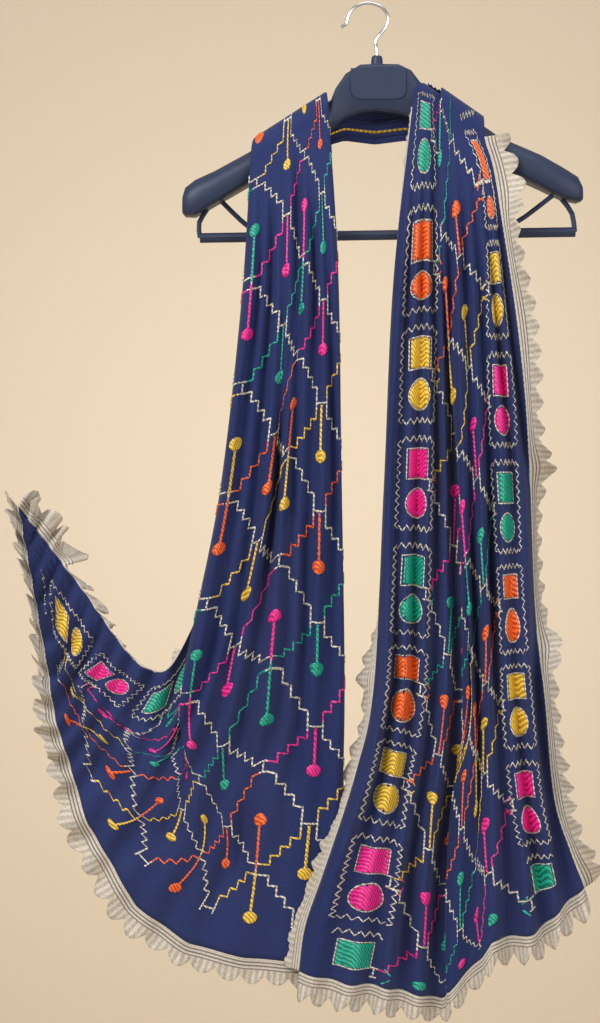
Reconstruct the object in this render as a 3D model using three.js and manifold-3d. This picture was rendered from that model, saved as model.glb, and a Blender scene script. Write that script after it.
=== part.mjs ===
// Embroidered dupatta hung over a wide-shoulder hanger. Millimetres, +Z up, the front faces -Y.
// The origin is the inside top of the hook's curl.
import * as THREE from 'three';
import { mergeVertices } from 'three/addons/utils/BufferGeometryUtils.js';
import Module from 'manifold-3d';

// ---------------------------------------------------------------- driving sizes
const CLOTH_WIDTH = 736; // between the two side laces
const CLOTH_WALL = 1.0;
const LACE_WALL = 1.0;
const LACE_HEADER = 12; // flat corded part of the lace
const LACE_RUFFLE = 20; // fan scallops beyond the header
const SCALLOP = 26; // pitch of one fan
const LONG_WAVE = 52; // pitch of the slack waves on edges that lie inside the folds
const SEAM_GAP = 0.3;
const COLUMN = 40; // widest step across the cloth
const EDGE = 6; // first column in from a free edge
const TURN = 5; // cloth from the tip of a fold to its straight leg
const LAYER = 2.1; // layer pitch where the folds pile up on the arm
const FIRST_LAYER = 1.5; // arm to the middle of the lowest layer
const CROWN = 18; // height of the arm's rounded top
const WIRE = 1.9; // hook wire radius
const BAR = 5.5; // trouser bar radius
const STRUT = 3; // loop radius at the bar's ends
const HEAD_HALF = 10.5; // half depth of the head

const V = (x, y, z) => new THREE.Vector3(x, y, z);
const lerp = THREE.MathUtils.lerp;
const clamp = THREE.MathUtils.clamp;

// ---------------------------------------------------------------- hanger sections
// one row for each section along X: top and bottom edge, half depth, height of the rounded top
const BODY = [
  { x: -204, top: -211, bottom: -229, half: 11, crown: 9 },
  { x: -201, top: -201, bottom: -232, half: 15, crown: 14 },
  { x: -190, top: -192.5, bottom: -232, half: 19, crown: CROWN },
  { x: -168, top: -182.5, bottom: -219, half: 21, crown: CROWN },
  { x: -130, top: -161.7, bottom: -197, half: 21, crown: CROWN },
  { x: -60, top: -116.7, bottom: -152, half: 18, crown: CROWN },
  { x: -41, top: -104.5, bottom: -136.5, half: 14, crown: CROWN },
  { x: -36, top: -92, bottom: -133, half: 12, crown: 8 },
  { x: -25, top: -76, bottom: -125, half: HEAD_HALF, crown: 6 },
  { x: -9, top: -66, bottom: -119, half: HEAD_HALF, crown: 5 },
  { x: 9, top: -65, bottom: -117, half: HEAD_HALF, crown: 5 },
  { x: 33, top: -65.5, bottom: -120, half: HEAD_HALF, crown: 5 },
  { x: 47, top: -72, bottom: -124, half: HEAD_HALF, crown: 6 },
  { x: 57, top: -84.7, bottom: -128.5, half: 12, crown: CROWN },
  { x: 90, top: -107.8, bottom: -146, half: 18, crown: CROWN },
  { x: 145, top: -146.3, bottom: -181, half: 21, crown: CROWN },
  { x: 189, top: -165, bottom: -201, half: 21, crown: CROWN },
  { x: 213, top: -178.5, bottom: -213, half: 19, crown: CROWN },
  { x: 230, top: -189, bottom: -217, half: 15, crown: 14 },
  { x: 235, top: -199, bottom: -215, half: 11, crown: 9 },
];

function bodyAt(x) {
  let i = 0;
  while (i < BODY.length - 2 && BODY[i + 1].x < x) i += 1;
  const a = BODY[i];
  const b = BODY[i + 1];
  const t = clamp((x - a.x) / (b.x - a.x), 0, 1);
  return { top: lerp(a.top, b.top, t), half: lerp(a.half, b.half, t) };
}

// a point on the arch over the arm: angle 0 is its front, 90 its ridge, 180 its back
function overArm(x, offset, degrees) {
  const arm = bodyAt(x);
  const a = THREE.MathUtils.degToRad(degrees);
  const y = -(arm.half + offset) * Math.cos(a);
  const z = arm.top - CROWN + (CROWN + offset) * Math.sin(a);
  return V(x, y, z);
}

// ---------------------------------------------------------------- cloth tables
// Each line runs the length of the cloth at its own place "u" across the width.
// turn: gap of the fold there, + when the next run lies in front. level: layer on the arm
// before and after the line. ridge and front: X on the arm. path: X, Z, Y at each station.
const LEFT_ALONG = [0, 102, 214, 326, 550, 750];
const LEFT_SEAM = 955;
const LEFT = [
  { u: 0, turn: 0, level: [0, 0], ridge: -112, front: -110,
    path: [[-378, -552, -48], [-316, -634, -40], [-246, -725, -30], [-200, -700, -27], [-133, -497, -24], [-106, -299, -24]] },
  { u: 102, turn: 5, level: [0, 1], ridge: -66, front: -68,
    path: [[-357, -668, -50], [-330, -725, -34], [-310, -748, -35], [-222, -785, -31], [-80, -550, -28], [-66, -301, -28]] },
  { u: 204, turn: 5, level: [1, 2], ridge: -120, front: -122,
    path: [[-338, -781, -52], [-309, -792, -36], [-259, -815, -43], [-206, -786, -36], [-150, -536, -33], [-127, -320, -33]] },
  { u: 306, turn: 5, level: [2, 3], ridge: -64, front: -66,
    path: [[-304, -892, -50], [-253, -885, -44], [-206, -842, -48], [-177, -775, -42], [-86, -540, -38], [-77, -315, -38]] },
  { u: 408, turn: 20, level: [3, 5], ridge: -127, front: -130,
    path: [[-252, -982, -48], [-189, -923, -52], [-191, -842, -56], [-204, -756, -55], [-164, -545, -54], [-140, -342, -53]] },
  { u: 480, turn: 0, level: [5, 5], ridge: -86, front: -88,
    path: [[-195, -1023, -44], [-156, -939, -34], [-158, -855, -38], [-154, -749, -52], [-109, -534, -66], [-90, -326, -65]] },
  { u: 536, turn: 0, level: [5, 5], ridge: -70, front: -70,
    path: [[-136, -1039, -42], [-123, -942, -44], [-115, -831, -50], [-106, -715, -62], [-88, -493, -67], [-72, -313, -66]] },
  { u: 592, turn: 0, level: [5, 5], ridge: -56, front: -54,
    path: [[-78, -1044, -38], [-70, -949, -40], [-60, -837, -46], [-57, -725, -60], [-53, -500, -66], [-50, -301, -65]] },
  { u: 630, turn: -12, level: [5, 4], ridge: -46, front: -43,
    path: [[-38, -1043, -34], [-31, -952, -34], [-27, -839, -38], [-26, -725, -48], [-30, -497, -57], [-33, -297, -57]] },
  { u: 736, turn: 0, level: [4, 4], ridge: -74, front: -74,
    path: [[-75, -1035, -24], [-72, -946, -26], [-70, -836, -30], [-66, -723, -42], [-66, -494, -47], [-74, -297, -46]] },
];

const RIGHT_ALONG = [0, 60, 124, 236, 348, 572, 796];
const RIGHT_HEM_SKEW = 22; // the hem runs this far past its first motif at u = 0
const RIGHT_SEAM = 983;
const RIGHT = [
  { u: 0, turn: 0, level: [4, 4], ridge: 126, front: 125, seam: 865,
    path: [[230, -961, -50], [215, -920, -50], [199, -864, -50], [189, -759, -50], [178, -652, -49], [168, -438, -46], [139, -213, -38]] },
  { u: 88, turn: 0, level: [4, 4], ridge: 99, front: 98, seam: 890,
    path: [[178, -1009, -58], [165, -930, -58], [153, -869, -58], [143, -764, -58], [139, -655, -57], [129, -438, -53], [124, -213, -44]] },
  { u: 144, turn: 0, level: [4, 4], ridge: 90, front: 88, seam: 918,
    path: [[130, -1016, -61], [125, -952, -61], [122, -890, -61], [122, -783, -60], [123, -684, -59], [111, -463, -55], [92, -233, -46]] },
  { u: 205, turn: -12, level: [4, 3], ridge: 80, front: 77, seam: 940,
    path: [[119, -1035, -62], [114, -1000, -62], [113, -936, -61], [112, -820, -59], [107, -710, -56], [93, -497, -52], [76, -261, -44]] },
  { u: 300, turn: -7, level: [3, 2], ridge: 106, front: 105, seam: 958,
    path: [[82, -1074, -53], [81, -1021, -53], [82, -957, -52], [91, -855, -50], [118, -748, -48], [136, -513, -44], [118, -272, -37]] },
  { u: 400, turn: -5, level: [2, 1], ridge: 84, front: 81, seam: 964,
    path: [[98, -1043, -45], [96, -1000, -45], [94, -946, -44], [96, -850, -43], [100, -748, -42], [96, -521, -38], [86, -278, -32]] },
  { u: 500, turn: -5, level: [1, 0], ridge: 108, front: 107, seam: 968,
    path: [[109, -1037, -37], [112, -1005, -37], [118, -952, -36], [126, -855, -36], [134, -750, -36], [144, -524, -33], [123, -283, -27]] },
  { u: 545, turn: 0, level: [0, 0], ridge: 96, front: 94, seam: 970,
    path: [[80, -1083, -39], [78, -1035, -39], [78, -966, -38], [87, -861, -36], [94, -755, -37], [118, -534, -29], [112, -290, -26]] },
  { u: 592, turn: 0, level: [0, 0], ridge: 84, front: 80, seam: 972,
    path: [[54, -1077, -51], [58, -1032, -51], [61, -970, -51], [68, -864, -49], [81, -759, -44], [94, -534, -31], [92, -290, -27]] },
  { u: 640, turn: 0, level: [0, 0], ridge: 76, front: 70, seam: 976,
    path: [[8, -1065, -58], [18, -1014, -58], [28, -954, -57], [41, -851, -52], [59, -748, -46], [67, -529, -34], [74, -294, -28]] },
  { u: 676, turn: 0, level: [0, 0], ridge: 71, front: 62, seam: 980,
    path: [[-23, -1063, -60], [-10, -1007, -60], [2, -948, -60], [23, -844, -58], [39, -740, -53], [54, -526, -37], [58, -290, -30]] },
  { u: 736, turn: 0, level: [0, 0], ridge: 64, front: 50, seam: 983,
    path: [[-76, -1050, -62], [-69, -1002, -64], [-50, -945, -65], [-14, -835, -65], [5, -740, -60], [16, -529, -40], [27, -304, -30]] },
];

// soft troughs: place across, half width, depth (+ goes back), from and to along the cloth
const LEFT_CREASES = [
  { u: 452, width: 15, depth: 9, from: 300, to: 860 },
  { u: 508, width: 13, depth: 10, from: 60, to: 900 },
  { u: 564, width: 14, depth: 6, from: 160, to: 840 },
  { u: 344, width: 24, depth: 7, from: -40, to: 150 },
  { u: 252, width: 26, depth: 8, from: -40, to: 130 },
  { u: 150, width: 26, depth: 7, from: -40, to: 120 },
];
const RIGHT_CREASES = [
  { u: 48, width: 15, depth: -5, from: 20, to: 620 },
  { u: 112, width: 14, depth: 4, from: 60, to: 700 },
  { u: 176, width: 12, depth: 3, from: 120, to: 560 },
  { u: 616, width: 13, depth: 5, from: -20, to: 420 },
  { u: 690, width: 13, depth: 4, from: 120, to: 760 },
];

// ---------------------------------------------------------------- cloth surface
function turnFactor(lines, i, station) {
  if (i === 0 || i === lines.length - 1) return 0;
  const at = (k) => new THREE.Vector2(lines[k].path[station][0], lines[k].path[station][1]);
  const before = at(i).sub(at(i - 1));
  const after = at(i + 1).sub(at(i));
  return (1 - Math.cos(before.angleTo(after))) / 2;
}

function runAt(lines, u) {
  let i = 0;
  while (i < lines.length - 2 && lines[i + 1].u <= u) i += 1;
  return { i, t: clamp((u - lines[i].u) / (lines[i + 1].u - lines[i].u), 0, 1) };
}

// the round of a fold: 0 at its tip, 1 on its straight leg
const legOf = (distance, gap) => Math.sin(clamp(distance / (TURN * Math.max(1, Math.abs(gap) / 9)), 0, 1) * Math.PI / 2);

function tablePoint(lines, u, station) {
  const { i, t } = runAt(lines, u);
  const a = lines[i];
  const b = lines[i + 1];
  const stepA = -a.turn / 2 * turnFactor(lines, i, station) * legOf(u - a.u, a.turn);
  const stepB = b.turn / 2 * turnFactor(lines, i + 1, station) * legOf(b.u - u, b.turn);
  const [ax, az, ay] = a.path[station];
  const [bx, bz, by] = b.path[station];
  return V(lerp(ax, bx, t), lerp(ay, by, t) + stepA * (1 - t) + stepB * t, lerp(az, bz, t));
}

function layerAt(lines, u) {
  const { i, t } = runAt(lines, u);
  const own = lines[i].level[1];
  const before = (lines[i].level[0] + own) / 2;
  const after = (lines[i + 1].level[1] + own) / 2;
  const near = lerp(before, own, legOf(u - lines[i].u, 5));
  const far = lerp(after, own, legOf(lines[i + 1].u - u, 5));
  return FIRST_LAYER + LAYER * (t < 0.5 ? near : far);
}

function mix(lines, key, u) {
  const { i, t } = runAt(lines, u);
  return lerp(lines[i][key], lines[i + 1][key], t);
}

function catmull(a, b, c, d, t) {
  const t2 = t * t;
  const t3 = t2 * t;
  return 0.5 * (2 * b + (c - a) * t + (2 * a - 5 * b + 4 * c - d) * t2 + (3 * b - a - 3 * c + d) * t3);
}

// s counts the stations: 0 is the hem, "last" the front of the arm, last + 1 the ridge
function makePanel(lines, along, alongArm, creases) {
  const last = along(0).length;
  const station = (u, k) => {
    if (k < last) return tablePoint(lines, u, k);
    return overArm(mix(lines, 'front', u), layerAt(lines, u), 0);
  };
  const place = (u, s) => {
    const values = [...along(u), alongArm(u) - 30, alongArm(u)];
    const k = Math.min(Math.floor(s), values.length - 2);
    return lerp(values[k], values[k + 1], s - k);
  };
  const bare = (u, s) => {
    if (s >= last) {
      const angle = 90 * (s - last);
      const x = lerp(mix(lines, 'front', u), mix(lines, 'ridge', u), s - last);
      return overArm(x, layerAt(lines, u), angle);
    }
    const k = Math.floor(s);
    const p = [k - 1, k, k + 1, k + 2].map((j) => station(u, clamp(j, 0, last)));
    if (k === 0) p[0] = p[1].clone().multiplyScalar(2).sub(p[2]);
    if (k === last - 1) p[3] = V(p[2].x, p[2].y, p[2].z + 40);
    const t = s - k;
    return V(...['x', 'y', 'z'].map((c) => catmull(p[0][c], p[1][c], p[2][c], p[3][c], t)));
  };
  const at = (u, s) => {
    const p = bare(u, s);
    const v = place(u, s);
    for (const c of creases) {
      const across = Math.exp(-(((u - c.u) / c.width) ** 2));
      const ends = clamp((v - c.from) / 60, 0, 1) * clamp((c.to - v) / 60, 0, 1);
      p.y += c.depth * across * ends;
    }
    return p;
  };
  return { at, lines, last };
}

const leftPanel = makePanel(LEFT, () => LEFT_ALONG, () => LEFT_SEAM, LEFT_CREASES);
const rightPanel = makePanel(
  RIGHT,
  (u) => [-RIGHT_HEM_SKEW * (1 - u / CLOTH_WIDTH), ...RIGHT_ALONG.slice(1)],
  (u) => Math.min(mix(RIGHT, 'seam', u), RIGHT_SEAM),
  RIGHT_CREASES,
);

// columns across the cloth: every line, the two legs of every fold, and even steps between
function columns(lines) {
  const out = new Set([EDGE, CLOTH_WIDTH - EDGE]);
  lines.forEach((line, i) => {
    out.add(line.u);
    const leg = TURN * Math.max(1, Math.abs(line.turn) / 9);
    if (line.turn) [-leg, -leg / 2, leg / 2, leg].forEach((d) => out.add(line.u + d));
    if (i === lines.length - 1) return;
    const next = lines[i + 1];
    const start = line.u + (line.turn ? leg : 0);
    const end = next.u - (next.turn ? TURN * Math.max(1, Math.abs(next.turn) / 9) : 0);
    const n = Math.max(1, Math.ceil((end - start) / COLUMN));
    for (let j = 0; j <= n; j += 1) out.add(start + (end - start) * j / n);
  });
  return [...out].sort((a, b) => a - b).filter((u, i, all) => i === 0 || u - all[i - 1] > 0.01);
}

// ---------------------------------------------------------------- closed wall through a grid
function wall(grid, thickness) {
  const rows = grid.length;
  const cols = grid[0].length;
  const near = (list, i) => list[clamp(i, 0, list.length - 1)];
  const normal = (i, j) => {
    const along = near(grid, i + 1)[j].clone().sub(near(grid, i - 1)[j]);
    const across = near(grid[i], j + 1).clone().sub(near(grid[i], j - 1));
    return along.cross(across).normalize();
  };
  const points = [];
  for (const side of [0.5, -0.5]) {
    for (let i = 0; i < rows; i += 1) {
      for (let j = 0; j < cols; j += 1) {
        points.push(grid[i][j].clone().addScaledVector(normal(i, j), side * thickness));
      }
    }
  }
  const id = (face, i, j) => face * rows * cols + i * cols + j;
  const index = [];
  const quad = (a, b, c, d) => index.push(a, b, c, a, c, d);
  for (let i = 0; i < rows - 1; i += 1) {
    for (let j = 0; j < cols - 1; j += 1) {
      quad(id(0, i, j), id(0, i + 1, j), id(0, i + 1, j + 1), id(0, i, j + 1));
      quad(id(1, i, j), id(1, i, j + 1), id(1, i + 1, j + 1), id(1, i + 1, j));
    }
    quad(id(0, i, 0), id(1, i, 0), id(1, i + 1, 0), id(0, i + 1, 0));
    quad(id(0, i, cols - 1), id(0, i + 1, cols - 1), id(1, i + 1, cols - 1), id(1, i, cols - 1));
  }
  for (let j = 0; j < cols - 1; j += 1) {
    quad(id(0, 0, j), id(0, 0, j + 1), id(1, 0, j + 1), id(1, 0, j));
    quad(id(0, rows - 1, j), id(1, rows - 1, j), id(1, rows - 1, j + 1), id(0, rows - 1, j + 1));
  }
  return solid(points, index);
}

function volumeOf(points, index) {
  let sum = 0;
  for (let k = 0; k < index.length; k += 3) {
    const [a, b, c] = [points[index[k]], points[index[k + 1]], points[index[k + 2]]];
    sum += a.dot(b.clone().cross(c)) / 6;
  }
  return sum;
}

function solid(points, index) {
  const order = volumeOf(points, index) < 0 ? index.slice().reverse() : index;
  const geometry = new THREE.BufferGeometry();
  geometry.setAttribute('position', new THREE.Float32BufferAttribute(points.flatMap((p) => p.toArray()), 3));
  geometry.setIndex(order);
  return geometry;
}

// ---------------------------------------------------------------- cloth stretches
const SEAM_ANGLE = 0.012; // share of the quarter turn that opens the seam on the ridge

function stationsOf(panel) {
  const stations = [];
  for (let k = 0; k < panel.last; k += 1) stations.push(k, k + 0.5);
  stations.push(panel.last, panel.last + 0.33, panel.last + 0.67, panel.last + 1 - SEAM_ANGLE);
  return stations;
}

function panelGrid(panel, us) {
  return stationsOf(panel).map((s) => us.map((u) => panel.at(u, s)));
}

// the flat facets of the wall: straight between its own stations or its own columns
function between(list, value, point) {
  let i = 0;
  while (i < list.length - 2 && list[i + 1] <= value) i += 1;
  const t = (value - list[i]) / (list[i + 1] - list[i]);
  return point(list[i]).lerp(point(list[i + 1]), t);
}

// The neck stretch: from the left ridge, down the back of the arm, behind the head, to the right.
// It is gathered in soft even waves, and its height runs evenly from the lower to the upper edge.
const NECK_LOW = -146; // Z of the lower edge behind the head
const NECK_RISE = 66; // its height there
const NECK_BACK = 24; // Y of the band behind the head
const NECK_CLEAR = 12; // least distance behind the head
const NECK_WAVES = 3;
const NECK_WAVE_DEPTH = 3.4;
const NECK_PILE = 5.2; // middle of the gathers above the arm
const NECK_LEFT = { low: -120, high: -50 }; // X on the left ridge at u = 0 and at the far edge
const NECK_RIGHT = { low: 124, high: 66 };

function neckAt(u, s) {
  const share = u / CLOTH_WIDTH;
  const swell = NECK_WAVE_DEPTH * Math.max(0.2, 1 - Math.abs(s - 3) / 1.2);
  const pile = NECK_PILE + swell * Math.sin(2 * Math.PI * NECK_WAVES * share);
  const z = NECK_LOW + NECK_RISE * share;
  const ridge = (side, degrees) => overArm(lerp(side.low, side.high, share), pile, degrees);
  const leaving = (side, x, t) => {
    const p = ridge(side, 180).lerp(V(x, 0, z), t);
    p.y = Math.max(bodyAt(p.x).half, NECK_CLEAR) + pile;
    return p;
  };
  const centre = V(8, NECK_BACK + pile - NECK_PILE, z - 3);
  if (s < 1) return ridge(NECK_LEFT, 90 + 90 * s);
  if (s <= 2) return leaving(NECK_LEFT, -26, s - 1);
  if (s <= 3) return leaving(NECK_LEFT, -26, 1).lerp(centre, s - 2);
  if (s <= 4) return centre.lerp(leaving(NECK_RIGHT, 42, 1), s - 3);
  if (s <= 5) return leaving(NECK_RIGHT, 42, 5 - s);
  return ridge(NECK_RIGHT, 180 - 90 * (s - 5));
}

const neckStations = [SEAM_ANGLE, 0.33, 0.67, 1, 1.5, 2, 3, 4, 4.5, 5, 5.33, 5.67, 6 - SEAM_ANGLE];
const neckGrid = neckStations.map((s) => {
  const row = [];
  for (let k = 0; k <= NECK_WAVES * 4; k += 1) row.push(neckAt(CLOTH_WIDTH * k / (NECK_WAVES * 4), s));
  return row;
});

// ---------------------------------------------------------------- lace
// ribs: base point, outward direction, face normal, distance along the edge
function ribsAlong(point, outward, steps, square) {
  const ribs = [];
  let run = 0;
  for (let i = 0; i < steps.length; i += 1) {
    const base = point(steps[i]);
    if (i) run += base.distanceTo(point(steps[i - 1]));
    const ahead = point(steps[Math.min(i + 1, steps.length - 1)]).clone().sub(point(steps[Math.max(i - 1, 0)]));
    const out = outward(steps[i]).normalize();
    if (square) out.addScaledVector(ahead, -out.dot(ahead) / ahead.lengthSq()).normalize();
    const face = ahead.clone().cross(out).normalize();
    ribs.push({ base, out, face, run, step: steps[i] });
  }
  return ribs;
}

function evenSteps(point, from, to, pitch) {
  const fine = 400;
  const lengths = [0];
  for (let i = 1; i <= fine; i += 1) {
    const a = point(lerp(from, to, (i - 1) / fine));
    lengths.push(lengths[i - 1] + a.distanceTo(point(lerp(from, to, i / fine))));
  }
  const n = Math.max(2, Math.round(lengths[fine] / pitch));
  const steps = [];
  for (let k = 0; k <= n; k += 1) {
    const goal = lengths[fine] * k / n;
    let i = 1;
    while (i < fine && lengths[i] < goal) i += 1;
    const part = (goal - lengths[i - 1]) / Math.max(lengths[i] - lengths[i - 1], 1e-9);
    steps.push(lerp(from, to, (i - 1 + part) / fine));
  }
  return steps;
}

// depth and width are functions of the step along the edge
function laceWall(ribs, pitch, depth, width = () => 1) {
  const reach = [SEAM_GAP, LACE_HEADER, LACE_HEADER + LACE_RUFFLE * 0.95];
  const swell = [0, 0.12, 1];
  const grid = reach.map((r, k) => ribs.map((rib) => {
    const swing = Math.sin(2 * Math.PI * rib.run / pitch) * depth(rib.step) * swell[k];
    const length = k ? r * width(rib.step) : r;
    return rib.base.clone().addScaledVector(rib.out, length).addScaledVector(rib.face, swing);
  }));
  return wall(grid, LACE_WALL);
}

function sideLace(panel, u, from, to, pitch, depth, width) {
  const inner = u === 0 ? EDGE : CLOTH_WIDTH - EDGE;
  const stations = stationsOf(panel);
  const point = (s) => between(stations, s, (k) => panel.at(u, k));
  const outward = (s) => point(s).sub(between(stations, s, (k) => panel.at(inner, k)));
  return laceWall(ribsAlong(point, outward, evenSteps(point, from, to, pitch / 4), true), pitch, depth, width);
}

// the hem lace turns each corner as a fan about the corner of the cloth
function hemLace(panel, pitch, depth, fans) {
  const us = columns(panel.lines);
  const point = (u) => between(us, u, (k) => panel.at(k, 0));
  const outward = (u) => point(u).sub(between(us, u, (k) => panel.at(k, 0.5)));
  const steps = evenSteps(point, 0, CLOTH_WIDTH, pitch / 4);
  const folds = panel.lines.filter((line) => line.turn && turnFactor(panel.lines, panel.lines.indexOf(line), 0) > 0.5);
  const inFold = (u) => folds.some((line) => Math.abs(line.u - u) < 8);
  const kept = us.filter((u) => inFold(u) || !panel.lines.some((line) => Math.abs(line.u - u) < 12 && line.u !== u));
  const all = steps.filter((u) => !inFold(u) && kept.every((k) => Math.abs(k - u) > 2.5));
  all.push(...kept);
  all.sort((a, b) => a - b);
  const ribs = ribsAlong(point, outward, all, false);
  const corner = (u, rib, sign) => {
    const side = panel.at(u, 0).sub(panel.at(u === 0 ? EDGE : CLOTH_WIDTH - EDGE, 0)).normalize();
    return [0.25, 0.5].map((t) => {
      const out = rib.out.clone().lerp(side, t).normalize();
      return { base: rib.base, out, face: rib.face, run: rib.run + sign * t * 40, step: u };
    });
  };
  const head = fans[0] ? corner(0, ribs[0], -1).reverse() : [];
  const tail = fans[1] ? corner(CLOTH_WIDTH, ribs[ribs.length - 1], 1) : [];
  return laceWall([...head, ...ribs, ...tail], pitch, depth);
}

// ---------------------------------------------------------------- hanger
function loftBody() {
  const ARC = 8;
  const rings = BODY.map((row) => {
    const ring = [V(row.x, -row.half, row.bottom)];
    for (let k = 0; k <= ARC; k += 1) {
      const a = Math.PI * k / ARC;
      const z = row.top - row.crown + row.crown * Math.sin(a);
      ring.push(V(row.x, -row.half * Math.cos(a), z));
    }
    ring.push(V(row.x, row.half, row.bottom));
    return ring;
  });
  const n = rings[0].length;
  const points = rings.flat();
  const index = [];
  for (let i = 0; i < rings.length - 1; i += 1) {
    for (let j = 0; j < n; j += 1) {
      const a = i * n + j;
      const b = i * n + (j + 1) % n;
      index.push(a, b, b + n, a, b + n, a + n);
    }
  }
  const lastRing = (rings.length - 1) * n;
  for (let j = 1; j < n - 1; j += 1) {
    index.push(0, j + 1, j);
    index.push(lastRing, lastRing + j, lastRing + j + 1);
  }
  return solid(points, index);
}

function tube(points, radius, sides, steps) {
  const path = new THREE.CatmullRomCurve3(points.map((p) => V(...p)), false, 'centripetal');
  const section = new THREE.Shape();
  for (let k = 0; k < sides; k += 1) {
    const a = 2 * Math.PI * k / sides;
    const to = k ? 'lineTo' : 'moveTo';
    section[to](radius * Math.cos(a), radius * Math.sin(a));
  }
  section.closePath();
  return new THREE.ExtrudeGeometry(section, { steps, extrudePath: path, bevelEnabled: false });
}

const HOOK = [
  [9.6, 0, -55.9], [9.2, 0, -47], [8, 0, -41], [11, 0, -34.5], [19.8, 0, -23.5], [21.8, 0, -12.5], [14.2, 0, -2.2],
  [0, 0, 2.1], [-12.4, 0, -1], [-19.4, 0, -7.4], [-22.4, 0, -14.4], [-24.2, 0, -20.6], [-30, 0, -24.2],
];
const BAR_LINE = [[-185, 0, -256.3], [20, 0, -253], [227.5, 0, -249.7]];
const STRUTS = [
  [[-177, 0, -224.4], [-186, 0, -240], [-185, 0, -256]],
  [[-161, 0, -216.2], [-141, 0, -236], [-118, 0, -255]],
  [[213, 0, -213.8], [224, 0, -229], [227, 0, -249.5]],
  [[203, 0, -209.4], [165, 0, -238], [140, 0, -251]],
];
const BOSS = { x: 9.6, radius: 6.5, top: -56.2, foot: -68 };

const wasm = await Module();
wasm.setup();

function toManifold(geometry) {
  const bare = geometry.clone();
  bare.deleteAttribute('normal');
  bare.deleteAttribute('uv');
  const merged = mergeVertices(bare, 1e-4);
  return new wasm.Manifold(new wasm.Mesh({
    numProp: 3,
    vertProperties: Float32Array.from(merged.attributes.position.array),
    triVerts: Uint32Array.from(merged.index.array),
  }));
}

function fromManifold(manifold) {
  const mesh = manifold.getMesh();
  const geometry = new THREE.BufferGeometry();
  geometry.setAttribute('position', new THREE.BufferAttribute(Float32Array.from(mesh.vertProperties), 3));
  geometry.setIndex(new THREE.BufferAttribute(Uint32Array.from(mesh.triVerts), 1));
  return geometry;
}

function bossPost() {
  const height = BOSS.top - BOSS.foot;
  const post = new THREE.CylinderGeometry(BOSS.radius * 0.8, BOSS.radius, height, 16);
  post.rotateX(Math.PI / 2);
  post.translate(BOSS.x, 0, (BOSS.top + BOSS.foot) / 2);
  return post;
}

function trouserBar() {
  let all = toManifold(tube(BAR_LINE, BAR, 10, 2));
  for (const strut of STRUTS) all = all.add(toManifold(tube(strut, STRUT, 6, 4)));
  const above = toManifold(loftBody());
  const room = above.translate([0, 0, -SEAM_GAP]).add(above);
  return fromManifold(all.subtract(room));
}

const BADGE = { left: -19.5, right: 41, top: -72, bottom: -105.5, corner: 12, thick: 1.4 };
function badgePlate() {
  const plate = new THREE.Shape();
  plate.moveTo(BADGE.left, BADGE.top);
  plate.lineTo(BADGE.left, BADGE.bottom + BADGE.corner);
  plate.quadraticCurveTo(BADGE.left, BADGE.bottom, BADGE.left + BADGE.corner, BADGE.bottom);
  plate.lineTo(BADGE.right - BADGE.corner, BADGE.bottom);
  plate.quadraticCurveTo(BADGE.right, BADGE.bottom, BADGE.right, BADGE.bottom + BADGE.corner);
  plate.lineTo(BADGE.right, BADGE.top);
  plate.closePath();
  const geometry = new THREE.ExtrudeGeometry(plate, { depth: BADGE.thick, bevelEnabled: false, curveSegments: 4 });
  geometry.rotateX(Math.PI / 2);
  return geometry;
}

// ---------------------------------------------------------------- scene graph
const NAVY = new THREE.MeshStandardMaterial({ color: 0x26284f, roughness: 0.85, metalness: 0 });
const CREAM = new THREE.MeshStandardMaterial({ color: 0xd7d0c3, roughness: 0.8, metalness: 0 });
const SLATE = new THREE.MeshStandardMaterial({ color: 0x344260, roughness: 0.6, metalness: 0 });
const CHROME = new THREE.MeshStandardMaterial({ color: 0xc9ccd2, roughness: 0.2, metalness: 1 });

const group = new THREE.Group();
function add(name, geometry, material) {
  const mesh = new THREE.Mesh(geometry, material);
  mesh.name = name;
  group.add(mesh);
  return mesh;
}

add('hanger_hook', tube(HOOK, WIRE, 8, 32), CHROME);
add('hanger_body', fromManifold(toManifold(loftBody()).add(toManifold(bossPost()))), SLATE);
add('hanger_bar', trouserBar(), SLATE);
const badge = add('hanger_badge', badgePlate(), SLATE);
badge.position.y = -(HEAD_HALF + SEAM_GAP);

add('cloth_left', wall(panelGrid(leftPanel, columns(LEFT)), CLOTH_WALL), NAVY);
add('cloth_neck', wall(neckGrid, CLOTH_WALL), NAVY);
add('cloth_right', wall(panelGrid(rightPanel, columns(RIGHT)), CLOTH_WALL), NAVY);

const armLeft = leftPanel.last;
const armRight = rightPanel.last;
// beside the elbow of the left edge and inside the folds the ruffle is bunched up short
const steady = (value) => () => value;
const elbow = (s) => 1 - 0.62 * Math.exp(-(((s - 2.6) / 0.75) ** 2));
const folded = (u) => (u > 150 && u < 540 ? 0.5 : 3);
add('lace_left_hem', hemLace(leftPanel, SCALLOP, steady(3), [true, true]), CREAM);
add('lace_left_side', sideLace(leftPanel, 0, 0.08, 2.9, SCALLOP, (s) => 2.2 - 0.6 * s, elbow), CREAM);
add('lace_left_inside', sideLace(leftPanel, 0, 3.4, armLeft - 1, LONG_WAVE, steady(0.6), steady(0.7)), CREAM);
add('lace_left_inner', sideLace(leftPanel, CLOTH_WIDTH, 0.08, armLeft - 1.2, LONG_WAVE, steady(0.6), steady(0.7)), CREAM);
add('lace_right_outer', sideLace(rightPanel, 0, 0.1, armRight, SCALLOP, steady(3)), CREAM);
add('lace_right_inner', sideLace(rightPanel, CLOTH_WIDTH, 0.1, armRight - 0.2, SCALLOP, steady(3)), CREAM);
add('lace_right_hem', hemLace(rightPanel, SCALLOP, folded, [true, true]), CREAM);

export default group;
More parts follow.
